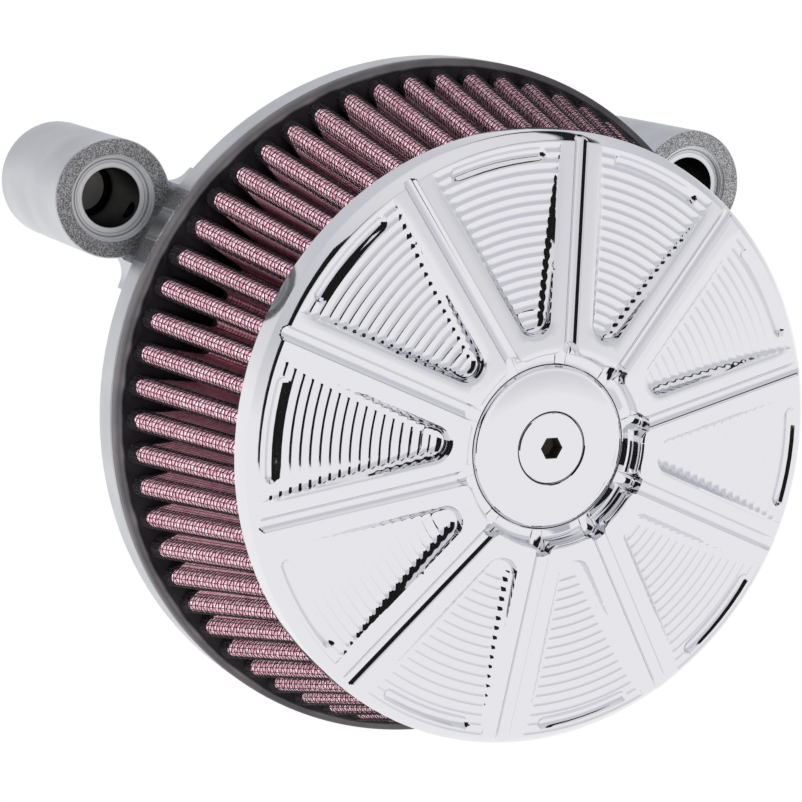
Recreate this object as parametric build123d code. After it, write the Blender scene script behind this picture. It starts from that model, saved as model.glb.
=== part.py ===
"""Round motorcycle air filter: a cast backing plate with two breather bosses, a tapered
pleated cotton element and a chromed billet cover held by one countersunk screw.

Frame, in millimetres: +Z is up on the bike, the filter's axis is Y and the cover faces -Y.
The origin is the centre of the flat face that bolts to the throttle body, at the plate's back.
Each sub-part is written to parts/NODE.step.
"""
from build123d import *
from math import atan2, cos, degrees, hypot, pi, radians, sin, sqrt, tan
import os

os.makedirs("parts", exist_ok=True)

# ---- cover -------------------------------------------------------------------------------
COVER_R = 82.55            # 6.5 in cover
COVER_BACK_Y = -88.0       # rear edge of the side wall
COVER_EDGE_Y = -96.0       # front edge of the side wall
FACE_R = 79.7              # outer edge of the pockets in the conical face
SHOULDER_R = 80.1          # where the sloping shoulder meets the conical face
FACE_Y = -99.5
WELL_R = 26.8              # central well, and the height of the face at its rim
WELL_RIM_Y = -108.4
WELL_ROUND = 1.4           # rounded rim of the well
CHANNEL_Y = -103.4         # floor of the channel round the hub disc
WELL_FLOOR_Y = -100.0      # seat of the hub disc
DISC_FIT = 0.12
COVER_SEAT_Y = -95.0       # flat back of the cover, on the bracket's nose
SKIRT_BORE_R = 80.2
SPOKES = 10
SPOKE_PHASE = 12.0         # degrees from +X to the first spoke
SPOKE_HALF = 6.2           # half the width of a spoke
GROOVE_R = 2.2             # ball-nosed groove down each spoke
GROOVE_LIFT = 0.92         # height of the cutter's centre above the face
GROOVE_END_R = 81.3
NOTCH_R = 2.4              # upright ball-nosed notch where a groove meets the well
NOTCH_DEPTH = 3.6
POCKET_IN_R = 31.0
POCKET_CORNER_R = 3.2
TERRACES = 17              # concentric scallops in each pocket's floor
TERRACE_PITCH = 2.65
SCALLOP_DEPTH = 0.35
FLOOR_SLOPE = 0.085        # how much the floor comes forward towards the hub, mm per mm
SLOT_R = 76.9              # short arc slot near the rim of each pocket
SLOT_HALF_WIDTH = 1.6
SLOT_HALF_ANGLE = 9.0

# ---- hub disc and cover screw (3/8-16 flat head) -----------------------------------------
DISC_R = 22.0
DISC_EDGE_Y = -103.8
DISC_CROWN_Y = -105.2
SCREW_TOP_Y = -105.25
HEAD_R = 9.45
HEAD_LAND = 0.6
SHANK_R = 4.76
SCREW_LENGTH = 25.4
HEX_FLATS = 5.56
HEX_DEPTH = 4.6
HEAD_GAP = 0.4             # gap round the head in its countersink
HEAD_CONE = tan(radians(41))
DRILL_TIP = 1.2            # depth of the drilled point under the socket
CONE_GAP = 0.25
RING_PASS_R = 7.2          # lets the screw's O-ring come out through the disc
O_RING_MAJOR = 5.9
O_RING_MINOR = 0.85
O_RING_Y = -98.0
SCREW_HOLE_R = 5.3

# ---- element -----------------------------------------------------------------------------
PLEATS = 62
MEDIA_FRONT_Y = -88.6
MEDIA_BACK_Y = -38.0
CREST_FRONT_R = 79.6
CREST_BACK_R = 94.4
PLEAT_DEPTH = 19.0
CREST_HALF = 2.2           # half the width of a pleat's outer fold
VALLEY_HALF = 0.6          # half the gap at the bottom between two pleats
MESH_SHELL = 0.3           # thickness of the wire mesh and of the cotton
COTTON_SHELL = 0.8
FRONT_SEAL_IN_R = 57.5
FRONT_SEAL_OUT_R = 79.7
REAR_SEAL_IN_R = 71.3
REAR_SEAL_OUT_R = 96.5
REAR_FLANGE_Y = -36.4      # front of the rear seal's flange

# ---- backing plate -----------------------------------------------------------------------
PLATE_R = 96.6
PLATE_SEAT_Y = -33.1       # where the rear seal rests
PLATE_BACK_Y = -23.0
LIP_IN_R = 66.5            # raised ring that centres the element
LIP_OUT_R = 70.9
LIP_TOP_Y = -37.6
DISH_Y = -29.0
DISH_BACK_Y = -21.0
INLET_R = 25.4             # 2 in inlet
BELL_R = 8.0               # radius of the inlet's rounded mouth
HUB_R = 46.0
BOLT_CIRCLE_R = 38.0
BOLT_HOLE_R = 3.4
BOLT_HEAD_R = 5.0
BOLT_HEAD_Y = -14.0
TB_RING_MAJOR = 29.6
TB_RING_MINOR = 1.3
SKIRT_OUT_R = 92.5         # stiffening ring on the plate's back
SKIRT_IN_R = 88.0
SKIRT_BACK_Y = -15.0
RIBS = 9
RIB_THICKNESS = 4.0
RIB_FIRST = 190.0          # the ribs fill the lower half of the plate's back
RIB_SPAN = 160.0

# ---- breather bosses ---------------------------------------------------------------------
BOSS_X = 90.8
BOSS_Z = 57.2
BOSS_R = 16.5
BOSS_FRONT_Y = -16.9
BOSS_BACK_Y = 32.6
BOSS_CHAMFER = 0.4
COUNTERBORES = ((11.9, 1.0), (11.2, 1.6), (10.5, 2.2))     # radius and depth of its machined steps
BREATHER_R = 8.15
STEP_Y = 11.0              # the bolt's clearance hole starts here
BREATHER_BOLT_R = 6.75
BOSS_RING_MAJOR = 10.6
BOSS_RING_MINOR = 1.3
ARM_FRONT_Y = -15.4
ARM_BACK_Y = -9.0
ARM_ROOT_AT = 58.0         # distance of the arm's root from the axis
ARM_ROOT_Y = -12.0         # how far back the arm stands at its root
ARM_ROOT_HALF = 11.0
ARM_HALF = 12.5
ARM_NECK = 6.0             # inside the skirt by this much, the arm has its root's width
ARM_STEP = 2.5             # the arm's raised front starts this far outside the skirt
ARM_FLARE_R = 7.0          # fillets where the arm leaves the plate
ARM_FLARE_INSET = 0.4      # keeps the flares under the skirt's surface
ARM_RECESS = 2.4
ARM_RIB = 3.0
ARM_RECESS_GAP = 4.0
ARM_RECESS_R = 2.0
PASSAGE_R = 2.6
PASSAGE_IN_AT = 61.0       # where the breather passage opens in the dish
PASSAGE_END_Y = -8.0

# ---- cover bracket -----------------------------------------------------------------------
LEGS = 3
LEG_PHASE = 90.0
LEG_WIDTH = 14.0
LEG_THICKNESS = 6.0
LEG_TOP = (6.0, -82.0)     # where the middle of a leg leaves the nose
NOSE_R = 11.5
NOSE_BACK_Y = -72.0
FOOT_AT = 54.0
FOOT_HALF = 8.5
FOOT_TOP_Y = -34.0
INSERT_R = 6.2
INSERT_BORE_R = 4.81
INSERT_FRONT_Y = -94.4
INSERT_BACK_Y = -80.6
TAP_HOLE_END_Y = -75.5
WASHER_T = 1.6
WASHER_R = 6.2
WASHER_SPLIT = 0.6
WASHER_SPLIT_LEAN = 25.0
LOCK_SCREW_R = 3.1
LOCK_HEAD_R = 4.8
LOCK_HEAD_H = 6.2
LOCK_SCREW_END_Y = -22.2
LOCK_HEX_R = 2.4
LOCK_HEX_DEPTH = 3.2

BOSS_AT = hypot(BOSS_X, BOSS_Z)
BOSS_ANGLE = degrees(atan2(BOSS_Z, BOSS_X))
RING_ROOM = 0.1            # room round an O-ring in its groove
RING_FIT = 0.05
FACE_SLOPE = (FACE_Y - WELL_RIM_Y) / (FACE_R - WELL_R)
FRONT_Y = -125.0           # in front of everything, for cutters


# ---- helpers -----------------------------------------------------------------------------
def rod(radius, y0, y1, x=0.0, z=0.0):
    """A cylinder along Y from y0 to y1."""
    return Pos(x, (y0 + y1) / 2, z) * Rot(90, 0, 0) * Cylinder(radius, y1 - y0)


def tube(outer, inner, y0, y1, x=0.0, z=0.0):
    return rod(outer, y0, y1, x, z) - rod(inner, y0 - 1, y1 + 1, x, z)


def turned(*outline):
    """A solid of revolution about Y from (radius, y) points."""
    return revolve(make_face(Polyline(*outline, close=True)), axis=Axis.Y)


def prism(sketch, y0, y1):
    """Extrude a sketch, drawn with x to the right and y up, from y0 to y1."""
    plane = Plane(origin=(0, y0, 0), x_dir=(1, 0, 0), z_dir=(0, -1, 0))
    return extrude(plane * sketch, amount=-(y1 - y0))


def ring(major, minor, y, x=0.0, z=0.0):
    return Pos(x, y, z) * Rot(90, 0, 0) * Torus(major, minor)


def about_axis(angle):
    """Turn from +X towards +Z about the filter's axis."""
    return Rot(0, -angle, 0)


def save(shape, name):
    export_step(shape, f"parts/{name}.step")


# ---- cover -------------------------------------------------------------------------------
def face_y(radius):
    return FACE_Y - (FACE_R - radius) * FACE_SLOPE


def floor_y(radius):
    return FACE_Y - (FACE_R - radius) * FLOOR_SLOPE


def cover_blank():
    wall_r = WELL_R - WELL_ROUND
    round_mid = WELL_ROUND * (1 - sqrt(0.5))
    outline = [
        Polyline((SCREW_HOLE_R, COVER_SEAT_Y), (SKIRT_BORE_R, COVER_SEAT_Y),
                 (SKIRT_BORE_R, COVER_BACK_Y), (COVER_R, COVER_BACK_Y), (COVER_R, COVER_EDGE_Y),
                 (SHOULDER_R, face_y(SHOULDER_R)), (WELL_R, WELL_RIM_Y)),
        ThreePointArc((WELL_R, WELL_RIM_Y), (wall_r + round_mid, WELL_RIM_Y + round_mid),
                      (wall_r, WELL_RIM_Y + WELL_ROUND)),
        Polyline((wall_r, WELL_RIM_Y + WELL_ROUND), (wall_r, CHANNEL_Y), (DISC_R + DISC_FIT, CHANNEL_Y),
                 (DISC_R + DISC_FIT, WELL_FLOOR_Y), (SCREW_HOLE_R, WELL_FLOOR_Y),
                 (SCREW_HOLE_R, COVER_SEAT_Y)),
    ]
    blank = revolve(make_face(outline), axis=Axis.Y)
    return blank - rod(RING_PASS_R, WELL_FLOOR_Y - 1, O_RING_Y + O_RING_MINOR + RING_FIT)


def terrace_ring():
    """The space in front of the pockets' scalloped floor, all the way round."""
    radii = [FACE_R - n * TERRACE_PITCH for n in range(TERRACES + 1)]
    ridge = [(radius, floor_y(radius)) for radius in radii]
    edges = []
    for (r0, y0), (r1, y1) in zip(ridge, ridge[1:]):
        edges.append(ThreePointArc((r0, y0), ((r0 + r1) / 2, (y0 + y1) / 2 + SCALLOP_DEPTH), (r1, y1)))
    inner = POCKET_IN_R - 3
    edges.append(Polyline(ridge[-1], (inner, ridge[-1][1]), (inner, FRONT_Y), (FACE_R, FRONT_Y), ridge[0]))
    return revolve(make_face(edges), axis=Axis.Y)


def wedge():
    """Plan of the pocket that is centred on +X: its sides run parallel to the spokes."""
    half_pitch = radians(180 / SPOKES)
    far = 90.0
    apex = SPOKE_HALF / sin(half_pitch)
    near_half = (POCKET_IN_R - apex) * tan(half_pitch)
    far_half = (far - apex) * tan(half_pitch)
    plan = make_face(Polyline((POCKET_IN_R, near_half), (POCKET_IN_R, -near_half), (far, -far_half),
                              (far, far_half), close=True))
    corners = plan.vertices().sort_by(Axis.X)[:2]
    return fillet(corners, POCKET_CORNER_R)


def pocket():
    floor_cut = terrace_ring() & prism(wedge(), FRONT_Y, COVER_SEAT_Y - 1)
    slot_y = floor_y(SLOT_R)
    spot = Pos(SLOT_R, slot_y, 0)
    slot_path = revolve(spot * Circle(SLOT_HALF_WIDTH), axis=Axis.Y, revolution_arc=2 * SLOT_HALF_ANGLE)
    slot = Rot(0, -SLOT_HALF_ANGLE, 0) * slot_path
    for end in (-1, 1):
        slot += about_axis(end * SLOT_HALF_ANGLE) * spot * Sphere(SLOT_HALF_WIDTH)
    return floor_cut + slot


def spoke_groove():
    """A ball-nosed cut along a spoke, out through the shoulder and into the well's wall."""
    inner_r = WELL_R - 3
    inner = (inner_r, face_y(inner_r) - GROOVE_LIFT)
    outer = (GROOVE_END_R, face_y(GROOVE_END_R) - GROOVE_LIFT)
    length = hypot(outer[0] - inner[0], outer[1] - inner[1])
    lean = degrees(atan2(outer[1] - inner[1], outer[0] - inner[0]))
    bar = Rot(0, 90, 0) * Cylinder(GROOVE_R, length, align=(Align.CENTER, Align.CENTER, Align.MIN))
    cut = Pos(*inner) * Rot(0, 0, lean) * bar
    cut += Pos(*outer) * Sphere(GROOVE_R)
    notch_y = WELL_RIM_Y + NOTCH_DEPTH
    cut += rod(NOTCH_R, FRONT_Y, notch_y, WELL_R)
    cut += Pos(WELL_R, notch_y, 0) * Sphere(NOTCH_R)
    return cut


def make_cover():
    shape = cover_blank()
    pocket_cut = pocket()
    groove_cut = spoke_groove()
    cutters = []
    for n in range(SPOKES):
        angle = SPOKE_PHASE + n * 360 / SPOKES
        cutters.append(about_axis(angle) * groove_cut)
        cutters.append(about_axis(angle + 180 / SPOKES) * pocket_cut)
    return shape - cutters


def make_hub_disc():
    land_y = SCREW_TOP_Y + HEAD_LAND
    wide = HEAD_R + HEAD_GAP
    pass_y = land_y + (HEAD_R + CONE_GAP - RING_PASS_R) / HEAD_CONE
    side_end = (DISC_R, DISC_EDGE_Y + 1.2)
    dome_start = (DISC_R - 1.4, DISC_EDGE_Y - 0.1)
    outline = [
        Polyline((RING_PASS_R, WELL_FLOOR_Y), (DISC_R, WELL_FLOOR_Y), side_end),
        ThreePointArc(side_end, (DISC_R - 0.4, DISC_EDGE_Y + 0.3), dome_start),
        ThreePointArc(dome_start, ((DISC_R + wide) / 2, DISC_CROWN_Y + 0.3), (wide, DISC_CROWN_Y)),
        Polyline((wide, DISC_CROWN_Y), (wide, land_y), (HEAD_R + CONE_GAP, land_y), (RING_PASS_R, pass_y),
                 (RING_PASS_R, WELL_FLOOR_Y)),
    ]
    return revolve(make_face(outline), axis=Axis.Y)


def make_cover_screw():
    land_y = SCREW_TOP_Y + HEAD_LAND
    neck_y = land_y + (HEAD_R - SHANK_R) / HEAD_CONE
    end_y = SCREW_TOP_Y + SCREW_LENGTH
    body = turned((0, SCREW_TOP_Y), (HEAD_R - 0.25, SCREW_TOP_Y), (HEAD_R, SCREW_TOP_Y + 0.25),
                  (HEAD_R, land_y), (SHANK_R, neck_y), (SHANK_R, end_y - 0.8), (SHANK_R - 0.8, end_y),
                  (0, end_y))
    socket = RegularPolygon(HEX_FLATS / 2, 6, major_radius=False)
    socket_y = SCREW_TOP_Y + HEX_DEPTH
    drill_tip = turned((0, socket_y - 0.1), (HEX_FLATS / 2, socket_y - 0.1), (0, socket_y + DRILL_TIP))
    return body - prism(socket, SCREW_TOP_Y - 1, socket_y) - drill_tip


# ---- element -----------------------------------------------------------------------------
def pleat_outline(crest, depth_in):
    """Zigzag outline, set in by depth_in from the outermost skin, flat at each crest and valley."""
    valley = crest - PLEAT_DEPTH - depth_in
    crest = crest - depth_in
    crest_turn = (CREST_HALF - depth_in) / crest
    valley_turn = (VALLEY_HALF + depth_in) / valley
    half = pi / PLEATS
    points = []
    for n in range(PLEATS):
        centre = 2 * half * n
        for radius, angle in ((crest, centre - crest_turn), (crest, centre + crest_turn),
                              (valley, centre + half - valley_turn), (valley, centre + half + valley_turn)):
            points.append((radius * cos(angle), radius * sin(angle)))
    return Polyline(*points, close=True)


def pleat_block(depth_in):
    """Solid tapered star bounded by one surface of the pleated sheet."""
    faces = []
    for y, crest in ((MEDIA_FRONT_Y, CREST_FRONT_R), (MEDIA_BACK_Y, CREST_BACK_R)):
        plane = Plane(origin=(0, y, 0), x_dir=(1, 0, 0), z_dir=(0, -1, 0))
        faces.append(make_face(plane * pleat_outline(crest, depth_in)))
    return loft(faces, ruled=True)


def make_media_layers():
    depths = (0.0, MESH_SHELL, MESH_SHELL + COTTON_SHELL, 2 * MESH_SHELL + COTTON_SHELL)
    blocks = [pleat_block(depth) for depth in depths]
    names = ("outer_wire_mesh", "cotton_media", "inner_wire_mesh")
    return {name: outside - inside for name, outside, inside in zip(names, blocks, blocks[1:])}


def make_front_seal():
    return turned((FRONT_SEAL_IN_R, MEDIA_FRONT_Y), (FRONT_SEAL_IN_R, COVER_SEAT_Y + 1.2),
                  (FRONT_SEAL_IN_R + 1.2, COVER_SEAT_Y), (FRONT_SEAL_OUT_R - 1.2, COVER_SEAT_Y),
                  (FRONT_SEAL_OUT_R, COVER_SEAT_Y + 1.2), (FRONT_SEAL_OUT_R, MEDIA_FRONT_Y))


def make_rear_seal():
    pour_r = CREST_BACK_R + 0.3
    return turned((REAR_SEAL_IN_R, PLATE_SEAT_Y), (REAR_SEAL_IN_R, MEDIA_BACK_Y), (pour_r, MEDIA_BACK_Y),
                  (pour_r + 0.5, REAR_FLANGE_Y), (REAR_SEAL_OUT_R - 0.8, REAR_FLANGE_Y),
                  (REAR_SEAL_OUT_R, REAR_FLANGE_Y + 0.8), (REAR_SEAL_OUT_R, PLATE_SEAT_Y))


# ---- backing plate -----------------------------------------------------------------------
def plate_blank():
    bell_mid = BELL_R * (1 - sqrt(0.5))
    bell_start = (INLET_R, DISH_Y + BELL_R)
    bell_end = (INLET_R + BELL_R, DISH_Y)
    outline = [
        Line((INLET_R, 0), bell_start),
        ThreePointArc(bell_start, (INLET_R + bell_mid, DISH_Y + bell_mid), bell_end),
        Polyline(bell_end, (LIP_IN_R, DISH_Y), (LIP_IN_R, LIP_TOP_Y), (LIP_OUT_R - 0.8, LIP_TOP_Y),
                 (LIP_OUT_R, LIP_TOP_Y + 0.8), (LIP_OUT_R, PLATE_SEAT_Y), (PLATE_R - 0.6, PLATE_SEAT_Y),
                 (PLATE_R, PLATE_SEAT_Y + 0.6), (PLATE_R, PLATE_BACK_Y - 1.0),
                 (PLATE_R - 1.0, PLATE_BACK_Y), (SKIRT_OUT_R, PLATE_BACK_Y), (SKIRT_OUT_R, SKIRT_BACK_Y),
                 (SKIRT_IN_R, SKIRT_BACK_Y), (SKIRT_IN_R, DISH_BACK_Y), (HUB_R, DISH_BACK_Y),
                 (HUB_R, -1.0), (HUB_R - 1.0, 0), (INLET_R, 0)),
    ]
    return revolve(make_face(outline), axis=Axis.Y)


def arm_plan():
    """Plan of the arm along +X: a bar from under the plate to the boss, flared at the plate's skirt."""
    root = [(ARM_ROOT_AT, ARM_ROOT_HALF), (ARM_ROOT_AT, -ARM_ROOT_HALF)]
    bar = make_face(Polyline(*root, (BOSS_AT, -ARM_HALF), (BOSS_AT, ARM_HALF), close=True))
    flare_r = SKIRT_OUT_R - ARM_FLARE_INSET
    joined = bar + Circle(flare_r)
    corners = [v for v in joined.vertices() if abs(hypot(v.X, v.Y) - flare_r) < 0.01 and v.X > ARM_ROOT_AT]
    flared = fillet(corners, ARM_FLARE_R)
    wide = ARM_HALF + ARM_FLARE_R
    neck = SKIRT_OUT_R - ARM_NECK
    window = make_face(Polyline(*root, (neck, -wide), (BOSS_AT, -wide), (BOSS_AT, wide), (neck, wide),
                                close=True))
    return flared & window


def make_arm():
    """The arm along +X, shallow at its root and with a recess between two ribs beside the boss."""
    under_y = DISH_BACK_Y - 0.5
    rim_y = PLATE_BACK_Y - 0.5
    step_at = (SKIRT_IN_R + SKIRT_OUT_R) / 2
    front_at = SKIRT_OUT_R + ARM_STEP
    side = make_face(Polyline((ARM_ROOT_AT, under_y), (ARM_ROOT_AT, ARM_ROOT_Y), (step_at, ARM_BACK_Y),
                              (BOSS_AT, ARM_BACK_Y), (BOSS_AT, ARM_FRONT_Y), (front_at, ARM_FRONT_Y),
                              (front_at, rim_y), (step_at, rim_y), (step_at, under_y), close=True))
    slab = extrude(side, amount=ARM_HALF + ARM_FLARE_R, both=True)
    arm = slab & prism(arm_plan(), rim_y - 1, ARM_BACK_Y + 1)
    inner = ARM_HALF - ARM_RIB
    recess_at = SKIRT_OUT_R + ARM_RECESS_GAP + BOSS_AT / 2
    recess = Pos(recess_at, 0) * RectangleRounded(BOSS_AT, 2 * inner, ARM_RECESS_R)
    return arm - prism(recess, ARM_FRONT_Y - 1, ARM_FRONT_Y + ARM_RECESS)


def make_boss():
    """The right-hand breather boss with its arm."""
    boss = Pos(BOSS_X, 0, BOSS_Z) * turned((0, BOSS_FRONT_Y), (BOSS_R - BOSS_CHAMFER, BOSS_FRONT_Y),
                                           (BOSS_R, BOSS_FRONT_Y + BOSS_CHAMFER),
                                           (BOSS_R, BOSS_BACK_Y - BOSS_CHAMFER),
                                           (BOSS_R - BOSS_CHAMFER, BOSS_BACK_Y), (0, BOSS_BACK_Y))
    return boss + about_axis(BOSS_ANGLE) * make_arm()


def boss_bores():
    """The right-hand boss's stepped bore, the groove for its O-ring and the breather passage."""
    bores = rod(BREATHER_R, BOSS_FRONT_Y, STEP_Y, BOSS_X, BOSS_Z)
    for radius, depth in COUNTERBORES:
        bores += rod(radius, BOSS_FRONT_Y - 1, BOSS_FRONT_Y + depth, BOSS_X, BOSS_Z)
    bores += rod(BREATHER_BOLT_R, STEP_Y - 1, BOSS_BACK_Y + 1, BOSS_X, BOSS_Z)
    groove_y = BOSS_BACK_Y - 2 * BOSS_RING_MINOR - RING_ROOM
    groove_half = BOSS_RING_MINOR + RING_ROOM
    bores += tube(BOSS_RING_MAJOR + groove_half, BOSS_RING_MAJOR - groove_half, groove_y, BOSS_BACK_Y + 0.5,
                  BOSS_X, BOSS_Z)
    return bores + breather_passage(BOSS_ANGLE)


def breather_passage(angle):
    """A drilling from the dish inside the filter to the boss's bore."""
    start = (PASSAGE_IN_AT, DISH_Y)
    end = (BOSS_AT - 3, PASSAGE_END_Y)
    length = hypot(end[0] - start[0], end[1] - start[1])
    lean = degrees(atan2(end[1] - start[1], end[0] - start[0]))
    drill = Rot(0, 90, 0) * Cylinder(PASSAGE_R, length + 8, align=(Align.CENTER, Align.CENTER, Align.MIN))
    hole = Pos(*start) * Rot(0, 0, lean) * Pos(-8, 0, 0) * drill
    return about_axis(angle) * hole


def leg_angles():
    return [LEG_PHASE + n * 360 / LEGS for n in range(LEGS)]


def polar(radius, angle):
    return radius * cos(radians(angle)), radius * sin(radians(angle))


def make_backing_plate():
    plate = plate_blank()
    rib_len = SKIRT_IN_R - HUB_R + 2
    for n in range(RIBS):
        angle = RIB_FIRST + n * RIB_SPAN / (RIBS - 1)
        rib = Pos(HUB_R - 1 + rib_len / 2, (DISH_BACK_Y - 1 + SKIRT_BACK_Y) / 2, 0)
        rib = rib * Box(rib_len, SKIRT_BACK_Y - DISH_BACK_Y + 1, RIB_THICKNESS)
        plate += about_axis(angle) * rib
    boss = make_boss()
    bores = boss_bores()
    plate = plate + boss + mirror(boss, about=Plane.YZ) - bores - mirror(bores, about=Plane.YZ)
    for angle in leg_angles():
        x, z = polar(FOOT_AT, angle)
        plate -= rod(LOCK_SCREW_R, DISH_Y - 1, LOCK_SCREW_END_Y, x, z)
        plate -= rod(BOLT_HOLE_R, DISH_Y - 1, 1, *polar(BOLT_CIRCLE_R, angle + 60))
        plate -= rod(BOLT_HEAD_R, DISH_Y - 1, BOLT_HEAD_Y, *polar(BOLT_CIRCLE_R, angle + 60))
    groove_in = TB_RING_MAJOR - TB_RING_MINOR - RING_ROOM
    groove_out = TB_RING_MAJOR + TB_RING_MINOR + RING_ROOM
    return plate - tube(groove_out, groove_in, -2 * TB_RING_MINOR - RING_ROOM, 0.5)


# ---- cover bracket -----------------------------------------------------------------------
def leg():
    """One leg along +X: from the nose, sloping back and out, to a flat foot."""
    half_t = LEG_THICKNESS / 2
    knee = (FOOT_AT - FOOT_HALF + 1.0, FOOT_TOP_Y + half_t - 0.5)
    run = hypot(knee[0] - LEG_TOP[0], knee[1] - LEG_TOP[1])
    lean = degrees(atan2(knee[1] - LEG_TOP[1], knee[0] - LEG_TOP[0]))
    bar = Pos(*LEG_TOP) * Rot(0, 0, lean) * Pos(run / 2, 0, 0) * Box(run + 4, LEG_THICKNESS, LEG_WIDTH)
    bar -= Pos(0, DISH_Y + 20, 0) * Box(200, 40, 200)
    foot = rod(FOOT_HALF, FOOT_TOP_Y, DISH_Y, FOOT_AT)
    toe = Box(FOOT_HALF, DISH_Y - FOOT_TOP_Y, LEG_WIDTH)
    toe = Pos(FOOT_AT - FOOT_HALF / 2, (FOOT_TOP_Y + DISH_Y) / 2, 0) * toe
    return bar + foot + toe - rod(WASHER_R + 0.6, FOOT_TOP_Y - 12, FOOT_TOP_Y, FOOT_AT)


def make_bracket():
    shape = rod(NOSE_R, COVER_SEAT_Y, NOSE_BACK_Y)
    one = leg()
    for angle in leg_angles():
        shape += about_axis(angle) * one
    for angle in leg_angles():
        shape -= rod(LOCK_SCREW_R + 0.3, FOOT_TOP_Y - 1, DISH_Y + 1, *polar(FOOT_AT, angle))
    tap_r = INSERT_BORE_R + 0.3
    bore = turned((0, COVER_SEAT_Y - 1), (INSERT_R, COVER_SEAT_Y - 1), (INSERT_R, INSERT_BACK_Y),
                  (tap_r, INSERT_BACK_Y), (tap_r, TAP_HOLE_END_Y - 2), (0, TAP_HOLE_END_Y))
    return shape - bore


def at_feet(one):
    """The same piece at each foot of the bracket, as separate solids."""
    return Compound(children=[about_axis(angle) * one for angle in leg_angles()])


def make_bracket_screw():
    head_y = FOOT_TOP_Y - WASHER_T
    screw = rod(LOCK_HEAD_R, head_y - LOCK_HEAD_H, head_y, FOOT_AT)
    screw = screw + rod(LOCK_SCREW_R, head_y - 1, LOCK_SCREW_END_Y, FOOT_AT)
    hexagon = RegularPolygon(LOCK_HEX_R, 6, major_radius=False)
    top_y = head_y - LOCK_HEAD_H
    socket = Pos(FOOT_AT, 0, 0) * prism(hexagon, top_y - 1, top_y + LOCK_HEX_DEPTH)
    return screw - socket


def make_lock_washer():
    washer = tube(WASHER_R, LOCK_SCREW_R + 0.25, FOOT_TOP_Y - WASHER_T, FOOT_TOP_Y, FOOT_AT)
    split = Rot(0, 0, WASHER_SPLIT_LEAN) * Box(2 * WASHER_R - 3, WASHER_T * 4, WASHER_SPLIT)
    split = Pos(FOOT_AT + WASHER_R, FOOT_TOP_Y - WASHER_T / 2, 0) * split
    return washer - split


# ---- write every sub-part ----------------------------------------------------------------
save(make_backing_plate(), "backing_plate")
save(ring(TB_RING_MAJOR, TB_RING_MINOR, -TB_RING_MINOR - RING_FIT), "throttle_body_o_ring")
boss_ring_y = BOSS_BACK_Y - BOSS_RING_MINOR - RING_FIT
for side, name in ((-1, "breather_o_ring_left"), (1, "breather_o_ring_right")):
    save(ring(BOSS_RING_MAJOR, BOSS_RING_MINOR, boss_ring_y, side * BOSS_X, BOSS_Z), name)
save(make_bracket(), "cover_bracket")
save(at_feet(make_bracket_screw()), "bracket_screws")
save(at_feet(make_lock_washer()), "bracket_lock_washers")
save(tube(INSERT_R, INSERT_BORE_R, INSERT_FRONT_Y, INSERT_BACK_Y), "threaded_insert")
for layer_name, layer in make_media_layers().items():
    save(layer, layer_name)
save(make_front_seal(), "front_end_seal")
save(make_rear_seal(), "rear_end_seal")
save(make_cover(), "cover")
save(make_hub_disc(), "cover_hub_disc")
save(ring(O_RING_MAJOR, O_RING_MINOR, O_RING_Y), "cover_screw_o_ring")
save(make_cover_screw(), "cover_screw")
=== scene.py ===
"""Looks of the round motorcycle air filter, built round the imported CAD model.

Frame, in metres: +Z is up, the filter's axis is Y and the cover faces -Y. Sizes below are in
millimetres, and MM turns them into metres. Angles run from +X towards +Z about the axis.
"""
from math import atan2, cos, hypot, pi, radians, sin

import bmesh
import bpy
import numpy as np
from mathutils import Matrix, Vector


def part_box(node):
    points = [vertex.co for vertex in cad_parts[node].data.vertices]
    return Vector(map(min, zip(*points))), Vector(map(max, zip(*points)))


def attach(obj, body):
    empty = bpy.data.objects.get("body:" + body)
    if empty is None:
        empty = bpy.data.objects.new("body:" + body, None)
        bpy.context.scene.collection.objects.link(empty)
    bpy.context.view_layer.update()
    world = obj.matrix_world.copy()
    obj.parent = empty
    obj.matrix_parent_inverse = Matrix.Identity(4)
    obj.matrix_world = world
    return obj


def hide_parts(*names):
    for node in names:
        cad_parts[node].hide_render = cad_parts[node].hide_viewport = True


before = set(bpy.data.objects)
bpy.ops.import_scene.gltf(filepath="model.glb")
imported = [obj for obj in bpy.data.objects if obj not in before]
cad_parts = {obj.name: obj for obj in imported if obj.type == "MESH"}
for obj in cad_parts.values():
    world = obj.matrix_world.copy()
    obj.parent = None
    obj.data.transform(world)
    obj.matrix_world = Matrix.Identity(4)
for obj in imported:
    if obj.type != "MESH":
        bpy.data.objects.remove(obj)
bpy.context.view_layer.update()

MM = 0.001


def node_box(name):
    """A node's lowest and highest corners in millimetres."""
    low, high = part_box(name)
    return low / MM, high / MM


# ---- driving sizes, read from the frame --------------------------------------------------
COVER_LOW, COVER_HIGH = node_box("cover")
DISC_LOW, DISC_HIGH = node_box("cover_hub_disc")
SCREW_LOW = node_box("cover_screw")[0]
COTTON_LOW, COTTON_HIGH = node_box("cotton_media")
REAR_LOW, REAR_HIGH = node_box("rear_end_seal")
FRONT_LOW, FRONT_HIGH = node_box("front_end_seal")
PLATE_LOW, PLATE_HIGH = node_box("backing_plate")

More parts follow.
